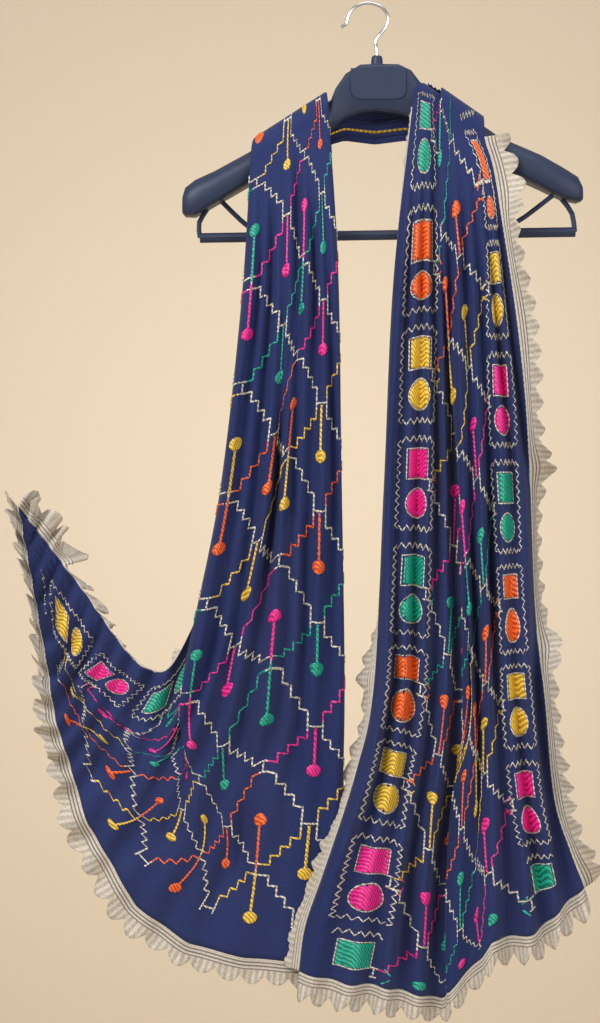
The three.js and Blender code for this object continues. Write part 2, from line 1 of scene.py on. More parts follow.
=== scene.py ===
# %% [markdown]
# # An embroidered dupatta on its hanger
# A dupatta is one long scarf. This one is sheer navy chiffon, about 0.8 m wide and 2.2 m long,
# with a charted diamond lattice worked all over it and a cream lace sewn on all round.
# It hangs in pleats over both shoulders of a plastic hanger. We load the fixed frame first:
# every piece below is placed by the same sizes that the frame was made from.

# %% Load the frame
import math
import bpy
import numpy as np
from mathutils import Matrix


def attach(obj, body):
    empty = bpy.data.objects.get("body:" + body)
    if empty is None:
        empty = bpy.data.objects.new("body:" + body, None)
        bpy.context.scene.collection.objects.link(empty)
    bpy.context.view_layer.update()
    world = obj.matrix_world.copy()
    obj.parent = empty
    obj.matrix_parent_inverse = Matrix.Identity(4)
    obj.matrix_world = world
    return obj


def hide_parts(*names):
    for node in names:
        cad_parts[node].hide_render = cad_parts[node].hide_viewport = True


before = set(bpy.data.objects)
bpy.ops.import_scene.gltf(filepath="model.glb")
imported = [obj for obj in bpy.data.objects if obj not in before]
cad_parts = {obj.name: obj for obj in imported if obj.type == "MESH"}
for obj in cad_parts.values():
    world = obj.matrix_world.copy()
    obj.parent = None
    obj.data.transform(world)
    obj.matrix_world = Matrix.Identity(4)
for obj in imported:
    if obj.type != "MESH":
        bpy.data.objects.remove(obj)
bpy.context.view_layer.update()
MM = 0.001

# %% [markdown]
# ## The cut of the cloth
# "u" is the place across the cloth and "v" the place along it, both in millimetres of flat cloth.
# Each line of a table is one thread of the warp. Its path gives X, Z and Y where it crosses the
# stations along the cloth, from the hem up to the arm. "turn" is the gap of a fold on that line.
# The tables keep the folds where a dresser would put them, which a simulation would not.

# %% Sizes of the cloth and its lace
CLOTH_WIDTH = 736.0
CLOTH_LENGTH = 2130.0
CLOTH_WALL = 0.8
LACE_HEADER = 12.0
LACE_RUFFLE = 20.0
SCALLOP = 26.0
TURN = 5.0
LAYER = 2.1
FIRST_LAYER = 1.5
CROWN = 18.0
SEAM_ANGLE = 0.012
LEFT_ALONG = [0, 102, 214, 326, 550, 750]
RIGHT_ALONG = [0, 60, 124, 236, 348, 572, 796]
RIGHT_HEM_SKEW = 22
print("cloth", CLOTH_WIDTH, "by", CLOTH_LENGTH, "mm, lace", LACE_HEADER + LACE_RUFFLE, "mm")

# %% The hanger's sections
# x, top, bottom, half depth, height of the rounded top
BODY = [
    (-204, -211, -229, 11, 9), (-201, -201, -232, 15, 14), (-190, -192.5, -232, 19, 18),
    (-168, -182.5, -219, 21, 18), (-130, -161.7, -197, 21, 18), (-60, -116.7, -152, 18, 18),
    (-41, -104.5, -136.5, 14, 18), (-36, -92, -133, 12, 8), (-25, -76, -125, 10.5, 6),
    (-9, -66, -119, 10.5, 5), (9, -65, -117, 10.5, 5), (33, -65.5, -120, 10.5, 5),
    (47, -72, -124, 10.5, 6), (57, -84.7, -128.5, 12, 18), (90, -107.8, -146, 18, 18),
    (145, -146.3, -181, 21, 18), (189, -165, -201, 21, 18), (213, -178.5, -213, 19, 18),
    (230, -189, -217, 15, 14), (235, -199, -215, 11, 9),
]
BODY_X = [row[0] for row in BODY]


def body_value(x, column):
    return np.interp(x, BODY_X, [row[column] for row in BODY])


def over_arm(x, offset, degrees):
    a = math.radians(degrees)
    y = -(body_value(x, 3) + offset) * math.cos(a)
    z = body_value(x, 1) - CROWN + (CROWN + offset) * math.sin(a)
    return np.stack([x, y, z], axis=-1)


def bend(a, b, c, d, t):
    """One step of a Catmull-Rom curve from b to c."""
    second, third = 2 * a - 5 * b + 4 * c - d, 3 * b - a - 3 * c + d
    return 0.5 * (2 * b + (c - a) * t + second * t * t + third * t ** 3)


print("hanger", BODY_X[-1] - BODY_X[0], "mm across")

# %% The warp lines of the left panel
# u, turn, level before and after, X on the ridge, X at the arm's front, seam, path
LEFT = [
    (0, 0, 0, 0, -112, -110, 955,
     [(-378, -552, -48), (-316, -634, -40), (-246, -725, -30),
      (-200, -700, -27), (-133, -497, -24), (-106, -299, -24)]),
    (102, 5, 0, 1, -66, -68, 955,
     [(-357, -668, -50), (-330, -725, -34), (-310, -748, -35),
      (-222, -785, -31), (-80, -550, -28), (-66, -301, -28)]),
    (204, 5, 1, 2, -120, -122, 955,
     [(-338, -781, -52), (-309, -792, -36), (-259, -815, -43),
      (-206, -786, -36), (-150, -536, -33), (-127, -320, -33)]),
    (306, 5, 2, 3, -64, -66, 955,
     [(-304, -892, -50), (-253, -885, -44), (-206, -842, -48),
      (-177, -775, -42), (-86, -540, -38), (-77, -315, -38)]),
    (408, 20, 3, 5, -127, -130, 955,
     [(-252, -982, -48), (-189, -923, -52), (-191, -842, -56),
      (-204, -756, -55), (-164, -545, -54), (-140, -342, -53)]),
    (480, 0, 5, 5, -86, -88, 955,
     [(-195, -1023, -44), (-156, -939, -34), (-158, -855, -38),
      (-154, -749, -52), (-109, -534, -66), (-90, -326, -65)]),
    (536, 0, 5, 5, -70, -70, 955,
     [(-136, -1039, -42), (-123, -942, -44), (-115, -831, -50),
      (-106, -715, -62), (-88, -493, -67), (-72, -313, -66)]),
    (592, 0, 5, 5, -56, -54, 955,
     [(-78, -1044, -38), (-70, -949, -40), (-60, -837, -46),
      (-57, -725, -60), (-53, -500, -66), (-50, -301, -65)]),
    (630, -12, 5, 4, -46, -43, 955,
     [(-38, -1043, -34), (-31, -952, -34), (-27, -839, -38),
      (-26, -725, -48), (-30, -497, -57), (-33, -297, -57)]),
    (736, 0, 4, 4, -74, -74, 955,
     [(-75, -1035, -24), (-72, -946, -26), (-70, -836, -30),
      (-66, -723, -42), (-66, -494, -47), (-74, -297, -46)]),
]
# place across, half width, depth, from and to along the cloth
LEFT_CREASES = [
    (452, 15, 9, 300, 860), (508, 13, 10, 60, 900), (564, 14, 6, 160, 840),
    (344, 24, 7, -40, 150), (252, 26, 8, -40, 130), (150, 26, 7, -40, 120),
]
print("left panel:", len(LEFT), "warp lines")

# %% The warp lines of the right panel's folds
RIGHT = [
    (0, 0, 4, 4, 126, 125, 865,
     [(230, -961, -50), (215, -920, -50), (199, -864, -50),
      (189, -759, -50), (178, -652, -49), (168, -438, -46),
      (139, -213, -38)]),
    (88, 0, 4, 4, 99, 98, 890,
     [(178, -1009, -58), (165, -930, -58), (153, -869, -58),
      (143, -764, -58), (139, -655, -57), (129, -438, -53),
      (124, -213, -44)]),
    (144, 0, 4, 4, 90, 88, 918,
     [(130, -1016, -61), (125, -952, -61), (122, -890, -61),
      (122, -783, -60), (123, -684, -59), (111, -463, -55),
      (92, -233, -46)]),
    (205, -12, 4, 3, 80, 77, 940,
     [(119, -1035, -62), (114, -1000, -62), (113, -936, -61),
      (112, -820, -59), (107, -710, -56), (93, -497, -52),
      (76, -261, -44)]),
    (300, -7, 3, 2, 106, 105, 958,
     [(82, -1074, -53), (81, -1021, -53), (82, -957, -52),
      (91, -855, -50), (118, -748, -48), (136, -513, -44),
      (118, -272, -37)]),
    (400, -5, 2, 1, 84, 81, 964,
     [(98, -1043, -45), (96, -1000, -45), (94, -946, -44),
      (96, -850, -43), (100, -748, -42), (96, -521, -38),
      (86, -278, -32)]),
    (500, -5, 1, 0, 108, 107, 968,
     [(109, -1037, -37), (112, -1005, -37), (118, -952, -36),
      (126, -855, -36), (134, -750, -36), (144, -524, -33),
      (123, -283, -27)]),
]
print("right panel, outer and folded part:", len(RIGHT), "warp lines")

# %% The warp lines of its smooth front, up to the neck side
RIGHT += [
    (545, 0, 0, 0, 96, 94, 970,
     [(80, -1083, -39), (78, -1035, -39), (78, -966, -38),
      (87, -861, -36), (94, -755, -37), (118, -534, -29),
      (112, -290, -26)]),
    (592, 0, 0, 0, 84, 80, 972,
     [(54, -1077, -51), (58, -1032, -51), (61, -970, -51),
      (68, -864, -49), (81, -759, -44), (94, -534, -31),
      (92, -290, -27)]),
    (640, 0, 0, 0, 76, 70, 976,
     [(8, -1065, -58), (18, -1014, -58), (28, -954, -57),
      (41, -851, -52), (59, -748, -46), (67, -529, -34),
      (74, -294, -28)]),
    (676, 0, 0, 0, 71, 62, 980,
     [(-23, -1063, -60), (-10, -1007, -60), (2, -948, -60),
      (23, -844, -58), (39, -740, -53), (54, -526, -37),
      (58, -290, -30)]),
    (736, 0, 0, 0, 64, 50, 983,
     [(-76, -1050, -62), (-69, -1002, -64), (-50, -945, -65),
      (-14, -835, -65), (5, -740, -60), (16, -529, -40),
      (27, -304, -30)]),
]
RIGHT_CREASES = [
    (48, 15, -5, 20, 620), (112, 14, 4, 60, 700), (176, 12, 3, 120, 560),
    (616, 13, 5, -20, 420), (690, 13, 4, 120, 760),
]
print("right panel:", len(RIGHT), "warp lines")

# %% [markdown]
# ## Soft gathers
# Real chiffon never hangs flat. All layers of a pile share the same soft ridges, because each lies
# on the next. So the gathers are one field over the whole panel: layers that lie on each other are
# moved to the front or the back together, which keeps their order.

# %% The gathers as one field over each panel
# Z, left edge, right edge, how deep the gathers are there
LEFT_FIELD = [
    (-1060, -420, -20, 2.0), (-900, -300, -20, 3.5), (-780, -230, -18, 6.5), (-700, -200, -20, 8.5),
    (-540, -165, -25, 9.0), (-320, -140, -31, 6.5), (-215, -134, -38, 1.5), (-170, -130, -42, 0.0),
]
RIGHT_FIELD = [
    (-1085, -80, 230, 8.5), (-940, -50, 212, 11.5), (-835, -14, 196, 12.0), (-740, 5, 184, 12.0),
    (-530, 15, 172, 11.5), (-300, 27, 148, 8.0), (-205, 36, 138, 1.5), (-160, 44, 130, 0.0),
]


def gathers(points, field, waves, lean):
    z = points[..., 2]
    column = lambda k: np.interp(z, [row[0] for row in field], [row[k] for row in field])
    share = (points[..., 0] - column(1)) / (column(2) - column(1))
    uneven = 0.10 * np.sin(2 * np.pi * (1.7 * share + z / 610.0)) + 0.05 * np.sin(z / 83.0 + 5 * share)
    swell = 0.8 + 0.2 * np.sin(2 * np.pi * (2.3 * share - z / 470.0) + lean)
    return column(3) * swell * np.sin(2 * np.pi * (waves * share + uneven) + lean)


print("gathers are up to", max(row[3] for row in RIGHT_FIELD), "mm deep")

# %% [markdown]
# ## From tables to a smooth sheet
# Across the cloth the sheet runs straight between warp lines and rounds each fold; along the cloth
# a Catmull-Rom curve passes through the stations. Over the arm it follows the hanger's own arch.
# Keeping the sheet as a grid means that stitches can be laid on it later by their u and v alone.

# %% Round the folds and bend the lines
def turn_factor(lines, i, k):
    if i == 0 or i == len(lines) - 1:
        return 0.0
    at = lambda j: np.array(lines[j][7][k][:2], float)
    before, after = at(i) - at(i - 1), at(i + 1) - at(i)
    cosine = before @ after / (np.linalg.norm(before) * np.linalg.norm(after))
    return (1 - cosine) / 2


def leg_of(distance, gap):
    reach = TURN * max(1.0, abs(gap) / 9)
    return np.sin(np.clip(distance / reach, 0, 1) * np.pi / 2)


def run_at(lines, u):
    starts = np.array([line[0] for line in lines], float)
    i = np.clip(np.searchsorted(starts, u, side="right") - 1, 0, len(lines) - 2)
    return i, (u - starts[i]) / (starts[i + 1] - starts[i])


print("a fold's round takes", TURN, "mm of cloth on each side")


# %% Read a row of the table, and the layer of each point
def table_row(lines, u, k):
    i, t = run_at(lines, u)
    path = np.array([line[7][k] for line in lines], float)
    p = path[i] * (1 - t)[:, None] + path[i + 1] * t[:, None]
    for j in range(len(u)):
        a, b = lines[i[j]], lines[i[j] + 1]
        first = -a[1] / 2 * turn_factor(lines, i[j], k) * leg_of(u[j] - a[0], a[1])
        second = b[1] / 2 * turn_factor(lines, i[j] + 1, k) * leg_of(b[0] - u[j], b[1])
        p[j, 2] += first * (1 - t[j]) + second * t[j]
    return p[:, [0, 2, 1]]


def layer_row(lines, u):
    i, t = run_at(lines, u)
    out = np.zeros(len(u))
    for j in range(len(u)):
        a, b = lines[i[j]], lines[i[j] + 1]
        own = a[3]
        near = (a[2] + own) / 2 + (own - (a[2] + own) / 2) * leg_of(u[j] - a[0], 5)
        far = (b[3] + own) / 2 + (own - (b[3] + own) / 2) * leg_of(b[0] - u[j], 5)
        out[j] = near if t[j] < 0.5 else far
    return FIRST_LAYER + LAYER * out


def mix_row(lines, column, u):
    return np.interp(u, [line[0] for line in lines], [line[column] for line in lines])


print("a layer is", LAYER, "mm above the one below")

# %% The sheet of a panel as one grid
ACROSS_STEP = 4.0
ROWS_PER_STATION = 14


def along_at(panel, u):
    u = np.atleast_1d(np.asarray(u, float))
    stations = np.tile(np.array(panel["along"], float), (len(u), 1))
    stations[:, 0] -= panel["skew"] * (1 - u / CLOTH_WIDTH)
    seam = mix_row(panel["lines"], 6, u)
    return np.column_stack([stations, seam - 30, seam])


print("the cloth is cut across every", ACROSS_STEP, "mm")


# %% Make the sheet of a panel
def make_sheet(panel):
    lines, last = panel["lines"], len(panel["along"])
    u = np.linspace(0, CLOTH_WIDTH, int(CLOTH_WIDTH / ACROSS_STEP) + 1)
    level = layer_row(lines, u)
    rows = [table_row(lines, u, k) for k in range(last)]
    rows.append(over_arm(mix_row(lines, 5, u), level, 0))
    s = list(np.linspace(0, last, last * ROWS_PER_STATION + 1))
    s += list(last + np.linspace(0.08, 1 - SEAM_ANGLE, 12))
    grid = []
    for value in s:
        if value > last:
            x = mix_row(lines, 5, u) + (mix_row(lines, 4, u) - mix_row(lines, 5, u)) * (value - last)
            grid.append(over_arm(x, level, 90 * (value - last)))
            continue
        k = min(int(value), last - 1)
        t = value - k
        b, c = rows[k], rows[k + 1]
        a = rows[k - 1] if k else 2 * b - c
        d = rows[k + 2] if k + 2 <= last else c + np.array([0, 0, 40.0])
        grid.append(bend(a, b, c, d, t))
    grid, s = np.array(grid), np.array(s)
    stations = along_at(panel, u)
    k = np.minimum(s.astype(int), stations.shape[1] - 2)
    v = stations[:, k].T * (1 - (s - k))[:, None] + stations[:, k + 1].T * (s - k)[:, None]
    for place, width, depth, low, high in panel["creases"]:
        ends = np.clip((v - low) / 60, 0, 1) * np.clip((high - v) / 60, 0, 1)
        grid[..., 1] += depth * np.exp(-(((u - place) / width) ** 2)) * ends
    soft = grid.copy()
    soft[:, 1:-1] = 0.25 * grid[:, :-2] + 0.5 * grid[:, 1:-1] + 0.25 * grid[:, 2:]
    soft[..., 1] += gathers(soft, panel["field"], panel["waves"], panel["lean"])
    normal = np.cross(np.gradient(soft, axis=1), np.gradient(soft, axis=0)) * panel["face"]
    normal /= np.maximum(np.linalg.norm(normal, axis=-1, keepdims=True), 1e-9)
    panel.update(u=u, s=s, grid=soft, normal=normal)
    return panel


left_panel = make_sheet(dict(name="left", lines=LEFT, along=LEFT_ALONG, skew=0, creases=LEFT_CREASES,
                             field=LEFT_FIELD, waves=7, lean=0.6, face=1))
right_panel = make_sheet(dict(name="right", lines=RIGHT, along=RIGHT_ALONG, skew=RIGHT_HEM_SKEW,
                              creases=RIGHT_CREASES, field=RIGHT_FIELD, waves=8, lean=2.1, face=-1))
print("sheet grids:", left_panel["grid"].shape, right_panel["grid"].shape)

# %% [markdown]
# ## Finishes
# Sheer chiffon is a matt cloth that lets some light through. One Principled shader with a fixed
# alpha does this, and a fine noise breaks up the navy. Thread has a soft satin shine, and a wave
# pattern with some distortion draws its rows of stitches and raises them a little; its dark bands between
# the rows are painted shade.

# %% A helper for woven and moulded finishes
RELIEF_DEPTH = 0.0004


def finish(name, dark, light, scale, roughness,
           sheen=0.0, alpha=1.0, metallic=0.0, bump=0.2, rows=False):
    material = bpy.data.materials.new(name)
    material.use_nodes = True
    nodes, links = material.node_tree.nodes, material.node_tree.links
    shader = nodes["Principled BSDF"]
    shader.inputs["Roughness"].default_value = roughness
    shader.inputs["Metallic"].default_value = metallic
    shader.inputs["Alpha"].default_value = alpha
    shader.inputs["Sheen Weight"].default_value = sheen
    place = nodes.new("ShaderNodeTexCoord")
    noise = nodes.new("ShaderNodeTexWave" if rows else "ShaderNodeTexNoise")
    if rows:
        noise.bands_direction = "DIAGONAL"
        noise.inputs["Distortion"].default_value = 3.0
        noise.inputs["Detail Scale"].default_value = 2.0
    noise.inputs["Scale"].default_value = scale
    noise.inputs["Detail"].default_value = 3.0
    ramp = nodes.new("ShaderNodeValToRGB")
    ramp.color_ramp.elements[0].position = 0.3
    ramp.color_ramp.elements[1].position = 0.7
    ramp.color_ramp.elements[0].color = (*dark, 1)
    ramp.color_ramp.elements[1].color = (*light, 1)
    relief = nodes.new("ShaderNodeBump")
    relief.inputs["Strength"].default_value = bump
    relief.inputs["Distance"].default_value = RELIEF_DEPTH
    links.new(place.outputs["Object"], noise.inputs["Vector"])
    links.new(noise.outputs["Fac"], ramp.inputs["Fac"])
    links.new(ramp.outputs["Color"], shader.inputs["Base Color"])
    links.new(noise.outputs["Fac"], relief.inputs["Height"])
    links.new(relief.outputs["Normal"], shader.inputs["Normal"])
    return material


print("a finish is a pattern between two colours, with a little relief")

# %% Mix the finishes
chiffon = finish("navy chiffon", (0.003, 0.009, 0.060), (0.007, 0.023, 0.140), 900, 0.85,
                 sheen=0.06, alpha=0.93, bump=0.35)
cream_lace = finish("cream lace", (0.46, 0.40, 0.33), (0.66, 0.60, 0.51), 520, 0.8, sheen=0.15, bump=0.7)
# A darker copy of the cream lace for every other pleat of the fan: painted shade on the pleats.
lace_pleat_shade = finish("lace pleat", (0.33, 0.28, 0.22), (0.50, 0.44, 0.36), 520, 0.85, sheen=0.1, bump=0.7)
# Dark bands for the troughs between the header's cords: painted shade, together with the dark of the navy
# cloth that shows through the lace there.
lace_gap_shade = finish("lace gap shade", (0.12, 0.10, 0.09), (0.22, 0.19, 0.17), 700, 0.9, bump=0.5)
# Each thread is darkened in bands along its wave pattern: painted shade between the rows of stitches, over
# the thread's own colour.
THREAD_ROWS = 120
THREADS = {"cream": finish("cream thread", (0.30, 0.26, 0.19), (0.80, 0.74, 0.62), THREAD_ROWS, 0.6,
                           bump=0.8, rows=True)}
for colour, dark, light in (
    ("pink", (0.50, 0.004, 0.13), (0.95, 0.03, 0.34)),
    ("teal", (0.004, 0.17, 0.11), (0.012, 0.44, 0.30)),
    ("orange", (0.52, 0.045, 0.006), (0.98, 0.17, 0.02)),
    ("yellow", (0.44, 0.25, 0.02), (0.92, 0.62, 0.06)),
):
    THREADS[colour] = finish(colour + " thread", dark, light, THREAD_ROWS, 0.45, bump=0.8, rows=True)
slate = finish("slate moulded plastic", (0.010, 0.021, 0.058), (0.013, 0.026, 0.069), 1400, 0.5, bump=0.06)
chrome = finish("chromed wire", (0.70, 0.71, 0.74), (0.78, 0.79, 0.81), 60, 0.16,
                metallic=1.0, bump=0.02)
print("finishes:", len(bpy.data.materials))

# %% [markdown]
# ## The three stretches of chiffon
# A grid of points becomes a mesh sheet, and Solidify gives it the thickness of cloth.
# Each stretch that shows is its own piece: left panel, right panel, and the neck between them.

# %% Make a mesh from points and faces
def piece(name, points, faces, material):
    mesh = bpy.data.meshes.new(name)
    mesh.from_pydata((np.asarray(points).reshape(-1, 3) * MM).tolist(), [], faces)
    mesh.materials.append(material)
    mesh.polygons.foreach_set("use_smooth", [True] * len(mesh.polygons))
    mesh.update()
    thing = bpy.data.objects.new(name, mesh)
    bpy.context.scene.collection.objects.link(thing)
    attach(thing, "root")
    return thing


def grid_faces(rows, columns, closed=False):
    faces = []
    for i in range(rows - 1):
        for j in range(columns if closed else columns - 1):
            a, b = i * columns + j, i * columns + (j + 1) % columns
            faces.append((a, b, b + columns, a + columns))
    return faces


def thicken(thing, wall):
    solid = thing.modifiers.new("cloth thickness", "SOLIDIFY")
    solid.thickness = wall * MM
    solid.offset = 0


def area_of(points):
    du, ds = np.diff(points, axis=1)[:-1], np.diff(points, axis=0)[:, :-1]
    return np.linalg.norm(np.cross(du, ds), axis=-1).sum() * 1e-6


for panel in (left_panel, right_panel):
    rows, columns = panel["grid"].shape[:2]
    cloth = piece("chiffon_" + panel["name"], panel["grid"], grid_faces(rows, columns), chiffon)
    thicken(cloth, CLOTH_WALL)
    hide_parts("cloth_" + panel["name"])
    print(cloth.name, "area", round(area_of(panel["grid"]), 3), "square metres")

# %% [markdown]
# ## The neck stretch
# Between the two panels the cloth passes behind the hanger's head. It is gathered in soft waves
# and only its lower edge and its ends on the shoulders show, so only a band of it is made.
# One yellow chain runs along the lower edge.

# %% The neck stretch behind the head
NECK_LOW, NECK_RISE, NECK_BACK, NECK_CLEAR = -146.0, 66.0, 24.0, 12.0
NECK_PILE, NECK_WAVES, NECK_DEPTH, NECK_FINE_WAVES = 5.2, 3, 3.4, 13


def neck_rows():
    share = np.linspace(0, 1, 97)
    z = NECK_LOW + NECK_RISE * share
    rows = []
    ends = [(-120, -50), (124, 66)]
    first, last = np.linspace(SEAM_ANGLE, 1, 8), np.linspace(5, 6 - SEAM_ANGLE, 8)
    for s in np.concatenate([first, np.linspace(1.1, 4.9, 40), last]):
        swell = NECK_DEPTH * max(0.2, 1 - abs(s - 3) / 1.2)
        fine = 0.9 * np.sin(2 * np.pi * NECK_FINE_WAVES * share)
        pile = NECK_PILE + swell * np.sin(2 * np.pi * NECK_WAVES * share) + fine
        ridge = lambda side, degrees: over_arm(side[0] + (side[1] - side[0]) * share, pile, degrees)

        def leaving(side, x, t):
            p = ridge(side, 180) * (1 - t) + np.stack([np.full_like(z, x), 0 * z, z], axis=-1) * t
            p[:, 1] = np.maximum(body_value(p[:, 0], 3), NECK_CLEAR) + pile
            return p

        centre = np.stack([np.full_like(z, 8.0), NECK_BACK + pile - NECK_PILE, z - 3], axis=-1)
        if s < 1:
            rows.append(ridge(ends[0], 90 + 90 * s))
        elif s <= 2:
            rows.append(leaving(ends[0], -26, s - 1))
        elif s <= 3:
            rows.append(leaving(ends[0], -26, 1) * (3 - s) + centre * (s - 2))
        elif s <= 4:
            rows.append(centre * (4 - s) + leaving(ends[1], 42, 1) * (s - 3))
        elif s <= 5:
            rows.append(leaving(ends[1], 42, 5 - s))
        else:
            rows.append(ridge(ends[1], 180 - 90 * (s - 5)))
    return np.array(rows)


print("neck band from", NECK_LOW, "to", NECK_LOW + NECK_RISE, "mm in Z")

# %% Make the neck band
neck_grid = neck_rows()
neck = piece("chiffon_neck", neck_grid, grid_faces(*neck_grid.shape[:2]), chiffon)
thicken(neck, CLOTH_WALL)
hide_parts("cloth_neck")
print("neck band", neck_grid.shape, "points")

# %% Lay the neck flat, and run one chain along it
across = np.linalg.norm(np.diff(neck_grid, axis=1), axis=-1).sum(axis=1).mean()
along = np.linalg.norm(np.diff(neck_grid, axis=0), axis=-1).sum(axis=0).mean()
chain = neck_grid[14:44, 17:21].copy()
chain[..., 1] -= 0.9
chain[1::2, 1:3, 1] -= 0.5
neck_chain = piece("thread_yellow_neck", chain, grid_faces(*chain.shape[:2]), THREADS["yellow"])
print("neck area", round(area_of(neck_grid), 4), "square metres")
print("laid flat the band is", round(across), "by", round(along), "mm")

# %% [markdown]
# ## Laying thread on the cloth
# Real embroidery is raised thread, so each stitch line is a small domed band of real mesh.
# A line is charted in u and v, cut into short steps, and lifted onto the cloth along its normal.
# Narrow and wide steps by turns give the beads of a chain stitch.

# %% Put charted points on the cloth
def on_cloth(panel, u, v, lift):
    u, v = np.clip(np.asarray(u, float), 0.5, CLOTH_WIDTH - 0.5), np.asarray(v, float)
    stations = along_at(panel, u)
    k = np.clip((stations <= v[:, None]).sum(axis=1) - 1, 0, stations.shape[1] - 2)
    pick = np.arange(len(u))
    s = k + (v - stations[pick, k]) / (stations[pick, k + 1] - stations[pick, k])
    row = np.interp(s, panel["s"], np.arange(len(panel["s"])))
    column = np.interp(u, panel["u"], np.arange(len(panel["u"])))
    i = np.minimum(row.astype(int), len(panel["s"]) - 2)
    j = np.minimum(column.astype(int), len(panel["u"]) - 2)
    a, b = (row - i)[:, None], (column - j)[:, None]

    def blend(g):
        here = g[i, j] * (1 - a) + g[i + 1, j] * a
        beside = g[i, j + 1] * (1 - a) + g[i + 1, j + 1] * a
        return here * (1 - b) + beside * b

    n = blend(panel["normal"])
    n /= np.maximum(np.linalg.norm(n, axis=1, keepdims=True), 1e-9)
    return blend(panel["grid"]) + n * np.asarray(lift, float)[:, None]


print("u 368, v 400 on the left panel is at", on_cloth(left_panel, [368], [400], [0])[0].round(), "mm")

# %% Sort the stitches by panel and thread
SEAM_MARGIN, HEM_MARGIN, SIDE_MARGIN = 3, 1, 2
BASKETS = {}


def basket(panel, colour):
    empty = dict(panel=panel, u=[], v=[], lift=[], faces=[], count=0)
    return BASKETS.setdefault((panel["name"], colour), empty)


def keep(panel, colour, u, v, lift, faces):
    stations = along_at(panel, u)
    inside = (v <= stations[:, -1] - SEAM_MARGIN).all() and (v >= stations[:, 0] + HEM_MARGIN).all()
    if not inside or u.min() < SIDE_MARGIN or u.max() > CLOTH_WIDTH - SIDE_MARGIN:
        return
    b = basket(panel, colour)
    b["faces"] += [tuple(b["count"] + k for k in face) for face in faces]
    b["u"].append(u)
    b["v"].append(v)
    b["lift"].append(lift)
    b["count"] += len(u)


print("no stitch comes nearer than", SEAM_MARGIN, "mm to the seam or", SIDE_MARGIN, "mm to a side")

# %% Stitch lines and rings
CHAIN_STEP = 3.2
NARROW_BEAD = 0.62
THREAD_FOOT = 0.35


def stitch(panel, colour, points, width, height=0.9):
    fine = []
    for (u0, v0), (u1, v1) in zip(points[:-1], points[1:]):
        n = max(1, round(math.hypot(u1 - u0, v1 - v0) / CHAIN_STEP))
        fine += [(u0 + (u1 - u0) * k / n, v0 + (v1 - v0) * k / n) for k in range(n)]
    line = np.array(fine + [points[-1]], float)
    way = np.gradient(line, axis=0)
    way /= np.maximum(np.linalg.norm(way, axis=1, keepdims=True), 1e-9)
    side = np.column_stack([-way[:, 1], way[:, 0]])
    bead = np.where(np.arange(len(line)) % 2, NARROW_BEAD, 1.0)[:, None] * width / 2
    uv = np.stack([line - side * bead, line, line + side * bead], axis=1).reshape(-1, 2)
    lift = np.tile([THREAD_FOOT, 0.45 + height, THREAD_FOOT], len(line))
    keep(panel, colour, uv[:, 0], uv[:, 1], lift, grid_faces(len(line), 3))


def ring(panel, colour, u, v, radius, width, across=1.0):
    turn = np.linspace(0, 2 * np.pi, 33)
    points = [(u + across * radius * math.cos(t), v + radius * math.sin(t)) for t in turn]
    stitch(panel, colour, points, width, 0.8)


print("chain step", CHAIN_STEP, "mm")

# %% Filled discs and squares
DISC_SPOKES = 20


def disc(panel, colour, u, v, radius, across=1.0):
    rings = [(0.12, 1.9), (0.32, 1.85), (0.52, 1.75), (0.7, 1.6),
             (0.85, 1.35), (0.94, 1.0), (1.0, THREAD_FOOT)]
    angle = np.arange(DISC_SPOKES) * 2 * np.pi / DISC_SPOKES
    us, vs, lifts = [], [], []
    for share, lift in rings:
        us.append(u + across * radius * share * np.cos(angle))
        vs.append(v + radius * share * np.sin(angle))
        lifts.append(lift + np.where(np.arange(DISC_SPOKES) % 2, 0.22, -0.22) * (share < 1))
    faces = grid_faces(len(rings), DISC_SPOKES, closed=True) + [tuple(reversed(range(DISC_SPOKES)))]
    keep(panel, colour, np.concatenate(us), np.concatenate(vs), np.concatenate(lifts), faces)


def square(panel, colour, u, v, size, across=1.0):
    n = 13
    a = np.linspace(-1, 1, n)
    gu, gv = np.meshgrid(a, a)
    rows = np.abs(np.sin(3.2 * np.pi * (np.abs(gu) + np.abs(gv))))
    edge = (np.maximum(np.abs(gu), np.abs(gv)) > 0.97)
    lift = np.where(edge, THREAD_FOOT, 0.85 + 0.55 * rows)
    us, vs = u + across * gu * size / 2, v + gv * size / 2
    keep(panel, colour, us.ravel(), vs.ravel(), lift.ravel(), grid_faces(n, n))


print("a disc has", DISC_SPOKES, "spokes of thread")

# %% [markdown]
# ## The charted pattern
# The chart repeats every 112 mm along the cloth. Stepped diamonds join two kinds of crossing;
# stems with a round head stand on the crossings, and a border of squares and discs runs down
# both sides in a zigzag frame. The colours run through the four threads in turn.
# Our tables draw the cloth in a little too much across. So the round heads are charted wider on both
# panels, and the border is charted wider on the right one.

